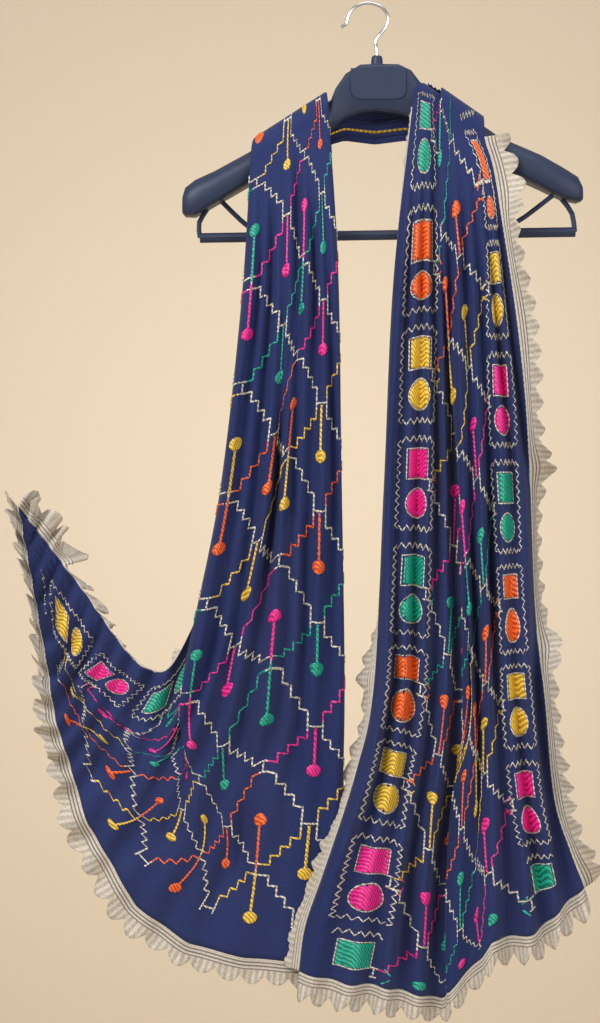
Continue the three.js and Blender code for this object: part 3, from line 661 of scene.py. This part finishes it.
# %% The chart's columns, rows and colours
PITCH = 112.0
BORDER = (60.0, 676.0)
BORDER_CROSSINGS = (88.0, 648.0)
BORDER_WIDE = {"left": (1.0, 1.0), "right": (1.15, 1.42)}
HEAD_WIDE = {"left": 1.2, "right": 1.45}
FIRST_COLUMNS = (144.0, 256.0, 368.0, 480.0, 592.0)
SECOND_COLUMNS = (200.0, 312.0, 424.0, 536.0)
FIRST_ROW = 46.0
SECOND_ROW = 102.0
STEM = 48.0
STEM_WIDTH = 4.2
HEAD_RADIUS = 7.0
LATTICE_LINE = 2.7
BAR_LINE = 2.6
FRAME_LINE = 2.0
SQUARE_SIZE = 30
DISC_RADIUS = 15
PAIR_OFFSET = 21
FRAME_HALF = 47.5
FIRST_COLOURS = {0: ("orange", "yellow", "pink", "teal"), 1: ("yellow", "orange", "teal", "pink")}
BORDER_COLOURS = ("yellow", "pink", "teal", "orange")


def second_colours(column, k):
    even = k % 2 == 0
    if column in (1, 3):
        return ("orange", "yellow") if even else ("pink", "teal")
    return ("yellow", "orange") if even else ("teal", "pink")


print("rows along the cloth:", int(CLOTH_LENGTH / PITCH))


# %% Motifs of one crossing
def stem(chart, u, v, way, colour, wide):
    chart(stitch, colour, [(u, v + way * 2), (u, v + way * STEM)], STEM_WIDTH, 1.3)
    chart(disc, colour, u, v + way * (STEM + HEAD_RADIUS), HEAD_RADIUS, wide)


def stairs(chart, u0, v0, u1, v1, colour):
    points = [(u0, v0)]
    for k in range(4):
        points.append((u0 + (u1 - u0) * k / 4, v0 + (v1 - v0) * (k + 1) / 4))
        points.append((u0 + (u1 - u0) * (k + 1) / 4, v0 + (v1 - v0) * (k + 1) / 4))
    chart(stitch, colour, points, LATTICE_LINE)


def first_crossing(chart, u, v, colour):
    chart(stitch, "cream", [(u - 9, v), (u + 9, v)], LATTICE_LINE)
    for side in (-1, 1):
        chart(stitch, "cream", [(u + 9 * side, v - 6), (u + 9 * side, v + 6)], LATTICE_LINE)
        for way in (-1, 1):
            tint = colour if side * way > 0 else "cream"
            stairs(chart, u + 9 * side, v + 6 * way, u + 51 * side, v + 50 * way, tint)


def second_crossing(chart, u, v):
    chart(stitch, "cream", [(u, v - 4.5), (u, v + 4.5)], LATTICE_LINE)
    for way in (-1, 1):
        chart(stitch, "cream", [(u - 5, v + way * 6), (u + 5, v + way * 6)], BAR_LINE)


print("a stem is", STEM, "mm long, with a head of", 2 * HEAD_RADIUS, "mm")


# %% The square and disc of a border, in their frame
def border_pair(chart, u, v, colour, wide):
    inward = 1 if u < CLOTH_WIDTH / 2 else -1
    chart(square, colour, u, v - PAIR_OFFSET, SQUARE_SIZE, wide)
    left, right, low, high = u - 16 * wide, u + 16 * wide, v - 37, v - 5
    box = [(left, low), (right, low), (right, high), (left, high), (left, low)]
    chart(stitch, "cream", box, FRAME_LINE, 0.8)
    chart(disc, colour, u, v + PAIR_OFFSET, DISC_RADIUS, wide)
    chart(ring, "cream", u, v + PAIR_OFFSET, 15.8, FRAME_LINE, wide)
    for side in (-1, 1):
        teeth = []
        for k in range(23):
            teeth.append((u + side * wide * (23 + 5 * (k % 2)), v - FRAME_HALF + 2 * FRAME_HALF * k / 22))
        chart(stitch, "cream", teeth, FRAME_LINE)
    for way in (-1, 1):
        teeth = [(u + wide * (-22 + 44 * k / 10), v + way * (44 + 6 * (k % 2))) for k in range(11)]
        chart(stitch, "cream", teeth, FRAME_LINE)
        link = [(u + inward * wide * 28, v + way * 10), (u + inward * (28 * wide + 8), v + way * 3)]
        chart(stitch, colour, link, BAR_LINE)


print("square", SQUARE_SIZE, "mm, disc", 2 * DISC_RADIUS, "mm, frame", 2 * FRAME_HALF, "mm long")

# %% Work the whole chart over both panels
def charter(panel):
    def lay(tool, colour, *rest):
        if panel["name"] == "left":
            return tool(panel, colour, *rest)
        if tool is stitch:
            points = [(u, CLOTH_LENGTH - v) for u, v in rest[0]]
            return tool(panel, colour, points, *rest[1:])
        return tool(panel, colour, rest[0], CLOTH_LENGTH - rest[1], *rest[2:])
    return lay


def work(panel):
    chart = charter(panel)
    for m in range(-1, 21):
        v = FIRST_ROW + PITCH * m
        for c, u in enumerate(FIRST_COLUMNS):
            colour = FIRST_COLOURS[c % 2][m % 4]
            first_crossing(chart, u, v, colour)
            stem(chart, u, v, -1, colour, HEAD_WIDE[panel["name"]])
        row = SECOND_ROW + PITCH * m
        for c, u in enumerate(SECOND_COLUMNS):
            if m % 2 == 0:
                up, down = second_colours(c, m // 2)
                stem(chart, u, row, 1, up, HEAD_WIDE[panel["name"]])
                stem(chart, u, row, -1, down, HEAD_WIDE[panel["name"]])
            second_crossing(chart, u, row)
        for u, wide in zip(BORDER, BORDER_WIDE[panel["name"]]):
            border_pair(chart, u, row, BORDER_COLOURS[m % 4], wide)
        for u in BORDER_CROSSINGS:
            second_crossing(chart, u, row)


work(left_panel)
work(right_panel)
for (side, colour), b in sorted(BASKETS.items()):
    points = on_cloth(b["panel"], np.concatenate(b["u"]), np.concatenate(b["v"]), np.concatenate(b["lift"]))
    thread = piece("thread_" + colour + "_" + side, points, b["faces"], THREADS[colour])
    print(thread.name, len(b["faces"]), "faces")

# %% [markdown]
# ## The lace
# The lace is a corded header with a ruffle of fan scallops. Ribs stand out from the edge of the
# cloth: each rib carries three raised cords, then the pleats of the fan, and the fans stand apart.
# The ruffle swings in and out once for each scallop, so it stands off the cloth as real lace does.
# Where an edge of the cloth rolls over, the lace turns to the back with it and is seen edge on.

# %% Ribs along an edge
REACH = [0.3, 1.2, 2.2, 3.3, 4.6, 5.8, 7.0, 8.4, 9.6, 10.8, 12.0, 14.0, 18.0, 22.5, 27.0, 1000.0]
RIB_STEP = SCALLOP / 8


def spread(line, step):
    length = np.concatenate([[0], np.cumsum(np.linalg.norm(np.diff(line, axis=0), axis=1))])
    count = max(8, int(round(length[-1] / step)))
    return np.linspace(0, length[-1], count + 1), length


def ribs(edge, inner, square_on=True):
    run, length = spread(edge, RIB_STEP)
    pick = lambda line: np.column_stack([np.interp(run, length, line[:, k]) for k in range(3)])
    base, inside = pick(edge), pick(inner)
    tangent = np.gradient(base, axis=0)
    tangent /= np.maximum(np.linalg.norm(tangent, axis=1, keepdims=True), 1e-9)
    out = base - inside
    if square_on:
        out -= tangent * (out * tangent).sum(axis=1, keepdims=True)
    out /= np.maximum(np.linalg.norm(out, axis=1, keepdims=True), 1e-9)
    for _ in range(4):
        out[1:-1] = (out[:-2] + 2 * out[1:-1] + out[2:]) / 4
    out /= np.maximum(np.linalg.norm(out, axis=1, keepdims=True), 1e-9)
    face = np.cross(tangent, out)
    face /= np.maximum(np.linalg.norm(face, axis=1, keepdims=True), 1e-9)
    return base, out, face, run


print("a rib every", RIB_STEP, "mm, a scallop every", SCALLOP, "mm")


# %% Turn the lace to the back of the cloth
def turned_back(parts, degrees):
    base, out, face, run = parts
    tangent = np.cross(out, face)
    back = np.array([0.0, 1.0, 0.0]) - tangent * tangent[:, 1:2] - out * out[:, 1:2]
    back /= np.maximum(np.linalg.norm(back, axis=1, keepdims=True), 1e-9)
    angle = np.radians(degrees(run / run[-1]))[:, None]
    out = out * np.cos(angle) + back * np.sin(angle)
    return base, out, np.cross(tangent, out), run


print("the lace can turn with the rolled edge")

# %% One strip of lace
LACE_WALL = 0.7
CORD_HEIGHT, CORD_PITCH, FIRST_CORD = 0.95, 3.7, 2.2
# Rows of faces in the troughs between the cords, which take the painted shade of the gap finish.
GAP_SHADE_ROWS, LAST_HEADER_ROW = (3, 6, 9), 9


def lace(name, parts, node, swing=3.0, width=None, panel=None):
    base, out, face, run = parts
    width = np.ones(len(run)) if width is None else width(run / run[-1])
    swing = np.full(len(run), swing) if np.isscalar(swing) else swing(run / run[-1])
    fan = np.abs(np.sin(np.pi * run / SCALLOP))
    tall = 0.88 + 0.12 * np.sin(run / 61.0 + 1.3 * np.sin(run / 23.0))
    end = LACE_HEADER + LACE_RUFFLE * (0.28 + 0.72 * fan ** 0.8) * tall
    rib = np.where(np.arange(len(run)) % 2, 0.35, -0.35)
    rows = []
    for r in REACH:
        reach = np.minimum(r, end)
        past = np.clip((reach - LACE_HEADER) / LACE_RUFFLE, 0, 1)
        wave = math.cos(2 * np.pi * (r - FIRST_CORD) / CORD_PITCH)
        cord = CORD_HEIGHT * wave if r <= LACE_HEADER else 0.0
        lift = swing * past * np.sin(2 * np.pi * run / SCALLOP) + cord * (0.8 + rib) + rib * (past > 0)
        stretch = reach * np.where(r > REACH[0], width, 1.0)
        rows.append(base + out * stretch[:, None] + face * lift[:, None])
    points = np.array(rows)
    if panel is not None:
        own = gathers(base, panel["field"], panel["waves"], panel["lean"])
        points[..., 1] += gathers(points, panel["field"], panel["waves"], panel["lean"]) - own
    trim = piece(name, points, grid_faces(*points.shape[:2]), cream_lace)
    trim.data.materials.append(lace_gap_shade)
    trim.data.materials.append(lace_pleat_shade)
    for index, face_of in enumerate(trim.data.polygons):
        row, column = divmod(index, points.shape[1] - 1)
        # Every other column of the ruffle takes the darker lace: painted shade on the fan's pleats.
        pleat_shade = row > LAST_HEADER_ROW and column % 2
        face_of.material_index = 1 if row in GAP_SHADE_ROWS else 2 if pleat_shade else 0
    thicken(trim, LACE_WALL)
    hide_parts(node)
    print(name, "has", int(run[-1] / SCALLOP), "scallops")
    return trim


print("ruffle", LACE_RUFFLE, "mm, wall", LACE_WALL, "mm")


# %% Where the lace is sewn on
def side_edge(panel, u, low, high):
    first = int(np.searchsorted(panel["s"], low))
    last = int(np.searchsorted(panel["s"], high)) + 1
    column, inner = (0, 2) if u == 0 else (-1, -3)
    return panel["grid"][first:last, column], panel["grid"][first:last, inner]


# how far along the strip, and how wide the lace or how many degrees it is turned there
elbow = lambda t: 1 - 0.8 * np.exp(-(((t * 3.0 - 2.6) / 0.75) ** 2))
tail_roll = lambda t: np.interp(t, [0, 0.22, 0.40, 1], [0, 6, 88, 100])
neck_roll = lambda t: np.interp(t, [0, 0.36, 0.50, 1], [0, 6, 76, 82])
arm_left, arm_right = len(LEFT_ALONG), len(RIGHT_ALONG)
tail_edge = side_edge(left_panel, 0, 0, 2.9)
hidden_edge = side_edge(left_panel, 0, 3.4, arm_left - 1)
tucked_edge = side_edge(left_panel, CLOTH_WIDTH, 0, arm_left - 1.2)
outer_edge = side_edge(right_panel, 0, 0, arm_right)
neck_edge = side_edge(right_panel, CLOTH_WIDTH, 0, arm_right - 0.2)
left_hem = left_panel["grid"][0], left_panel["grid"][2]
right_hem = right_panel["grid"][0], right_panel["grid"][2]
print("edges of", len(tail_edge[0]), "to", len(outer_edge[0]), "points")

# %% Sew the lace on
HIDDEN_WIDTH, TUCKED_WIDTH = 0.32, 0.55
trims = {
    "left": [
        lace("lace_left_edge", turned_back(ribs(*tail_edge), tail_roll), "lace_left_side", 1.0, elbow),
        lace("lace_left_hidden", ribs(*hidden_edge), "lace_left_inside", 0.0,
             lambda t: HIDDEN_WIDTH + 0 * t, left_panel),
        lace("lace_left_tucked", ribs(*tucked_edge), "lace_left_inner", 0.0,
             lambda t: TUCKED_WIDTH + 0 * t, left_panel),
        lace("lace_left_bottom", ribs(*left_hem, False), "lace_left_hem"),
    ],
    "right": [
        lace("lace_right_edge", ribs(*outer_edge), "lace_right_outer"),
        lace("lace_right_neckside", turned_back(ribs(*neck_edge), neck_roll), "lace_right_inner", 2.4,
             lambda t: np.interp(t, [0, 0.5, 0.85, 1], [1, 0.8, 0.4, 0.3])),
        lace("lace_right_bottom", ribs(*right_hem, False), "lace_right_hem",
             lambda t: np.where((t > 0.2) & (t < 0.75), 0.6, 3.0)),
    ],
}
print("lace strips:", sum(len(group) for group in trims.values()))

# %% [markdown]
# ## The three sheets of the cloth
# Each panel is its own part of the cut, and the right one has a slanted seam and hem.
# The neck is only a band of the cloth that is there.

print("sheets: left, right and neck")

# %% [markdown]
# ## The hanger
# A wide-shoulder hanger is moulded in one piece, matt slate plastic with rounded shoulders.
# We loft a finer skin through the same sections, and bend the chromed wire hook as a curve.

# %% The moulded shoulders
def hanger_shoulders():
    xs = []
    for a, b in zip(BODY_X[:-1], BODY_X[1:]):
        xs += list(np.linspace(a, b, max(2, int((b - a) / 6)) + 1)[:-1])
    xs.append(BODY_X[-1])
    arc = np.linspace(0, np.pi, 25)
    rows = []
    for x in xs:
        top, bottom, half, crown = (float(body_value(x, k)) for k in (1, 2, 3, 4))
        soft = min(3.0, half / 3)
        ring_y = [-half + soft, -half, *(-half * np.cos(arc)), half, half - soft]
        ring_z = [bottom, bottom + soft, *(top - crown + crown * np.sin(arc)), bottom + soft, bottom]
        rows.append(np.column_stack([np.full(len(ring_y), x), ring_y, ring_z]))
    points = np.array(rows)
    n = points.shape[1]
    faces = grid_faces(len(xs), n, closed=True)
    faces += [tuple(range(n)), tuple((len(xs) - 1) * n + k for k in reversed(range(n)))]
    return points, faces


points, faces = hanger_shoulders()
shoulders = piece("hanger_shoulders", points, faces, slate)
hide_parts("hanger_body")
print("shoulders:", len(faces), "faces")


# %% A tube along a smooth line
def tube_piece(name, line, radius, material):
    curve = bpy.data.curves.new(name, "CURVE")
    curve.dimensions = "3D"
    curve.bevel_depth = radius * MM
    curve.bevel_resolution = 5
    curve.use_fill_caps = True
    spline = curve.splines.new("POLY")
    spline.points.add(len(line) - 1)
    for point, place in zip(spline.points, line):
        point.co = (*(c * MM for c in place), 1)
    spline.use_smooth = True
    curve.materials.append(material)
    thing = bpy.data.objects.new(name, curve)
    bpy.context.scene.collection.objects.link(thing)
    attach(thing, "root")
    return thing


def smooth_line(points, steps=8):
    p = [np.array(q, float) for q in points]
    p = [2 * p[0] - p[1], *p, 2 * p[-1] - p[-2]]
    line = []
    for a, b, c, d in zip(p[:-3], p[1:-2], p[2:-1], p[3:]):
        for t in np.linspace(0, 1, steps, endpoint=False):
            line.append(bend(a, b, c, d, t))
    return line + [p[-2]]


print("a tube follows a line of points")

# %% Bend the hook and add the boss
WIRE_RADIUS, BOSS_X, BOSS_POINTS = 1.9, 9.6, 40
HOOK = [
    (9.6, 0, -55.9), (9.2, 0, -47), (8, 0, -41), (11, 0, -34.5), (19.8, 0, -23.5), (21.8, 0, -12.5),
    (14.2, 0, -2.2), (0, 0, 2.1), (-12.4, 0, -1), (-19.4, 0, -7.4), (-22.4, 0, -14.4),
    (-24.2, 0, -20.6), (-30, 0, -24.2),
]
hook = tube_piece("hook_wire", smooth_line(HOOK), WIRE_RADIUS, chrome)
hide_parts("hanger_hook")
angle = np.linspace(0, 2 * np.pi, BOSS_POINTS, endpoint=False)
boss_rows = []
for z, radius in ((-68, 6.6), (-62, 6.4), (-58, 5.9), (-56.8, 5.4), (-56.2, 4.6), (-56.2, 2.2)):
    x, y = BOSS_X + radius * np.cos(angle), radius * np.sin(angle)
    boss_rows.append(np.column_stack([x, y, np.full(BOSS_POINTS, z)]))
boss = piece("hook_boss", np.array(boss_rows), grid_faces(len(boss_rows), BOSS_POINTS, closed=True), slate)
for node, material in (("hanger_bar", slate), ("hanger_badge", slate)):
    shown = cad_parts[node]
    shown.data.materials.clear()
    shown.data.materials.append(material)
print("hook wire", 2 * WIRE_RADIUS, "mm, boss and bar finished")

# %% [markdown]
# ## Light, floor and camera
# A plain pale wall and floor with soft light from the front left, as for a shop's catalogue.
# The camera stands well back, so that the cloth is seen almost straight on.

# %% Floor and wall
def plain(name, colour):
    material = bpy.data.materials.new(name)
    material.use_nodes = True
    material.node_tree.nodes["Principled BSDF"].inputs["Base Color"].default_value = (*colour, 1)
    material.node_tree.nodes["Principled BSDF"].inputs["Roughness"].default_value = 0.95
    return material


def stage_plane(name, corners, material):
    mesh = bpy.data.meshes.new(name)
    mesh.from_pydata(corners, [], [(0, 1, 2, 3)])
    mesh.materials.append(material)
    thing = bpy.data.objects.new(name, mesh)
    bpy.context.scene.collection.objects.link(thing)


pale = plain("pale wall", (0.80, 0.68, 0.52))
stage_plane("studio_wall", [(-8, 3.4, -2.6), (8, 3.4, -2.6), (8, 3.4, 5), (-8, 3.4, 5)], pale)
stage_plane("studio_floor", [(-8, -6, -2.6), (8, -6, -2.6), (8, 3.4, -2.6), (-8, 3.4, -2.6)], pale)
print("wall 3.4 m behind, floor 2.6 m below the hook")


# %% Lights
def soft_light(name, place, aim, size, power):
    data = bpy.data.lights.new(name, "AREA")
    data.size = size
    data.energy = power
    light = bpy.data.objects.new(name, data)
    light.location = place
    bpy.context.scene.collection.objects.link(light)
    way = np.array(aim) - np.array(place)
    light.rotation_euler = (math.atan2(math.hypot(way[0], way[1]), -way[2]), 0, math.atan2(-way[0], way[1]))
    return light


soft_light("key", (-1.8, -2.2, 0.9), (0, 0, -0.55), 1.6, 76)
soft_light("fill", (2.2, -2.4, -0.2), (0, 0, -0.6), 2.2, 40)
soft_light("top", (0.2, -0.6, 1.6), (0, 0, -0.4), 1.4, 15)
soft_light("wall_glow", (-0.05, 1.9, -0.5), (-0.05, 3.4, -0.5), 1.5, 10)
world = bpy.data.worlds.new("soft room")
world.use_nodes = True
world.node_tree.nodes["Background"].inputs["Color"].default_value = (1.0, 0.97, 0.93, 1)
world.node_tree.nodes["Background"].inputs["Strength"].default_value = 0.42
bpy.context.scene.world = world
bpy.context.scene.view_settings.view_transform = "Standard"
print("lights:", len(bpy.data.lights))

# %% The camera
CAMERA_PLACE = (-0.075, -2.3, -0.557)
VIEW_HEIGHT = 1.125
SENSOR = 36
camera_data = bpy.data.cameras.new("camera")
camera_data.sensor_width = SENSOR
camera_data.lens = SENSOR * -CAMERA_PLACE[1] / VIEW_HEIGHT
camera = bpy.data.objects.new("camera", camera_data)
camera.location = CAMERA_PLACE
camera.rotation_euler = (math.pi / 2, 0, 0)
bpy.context.scene.collection.objects.link(camera)
bpy.context.scene.camera = camera
print("lens", round(camera_data.lens, 1), "mm")
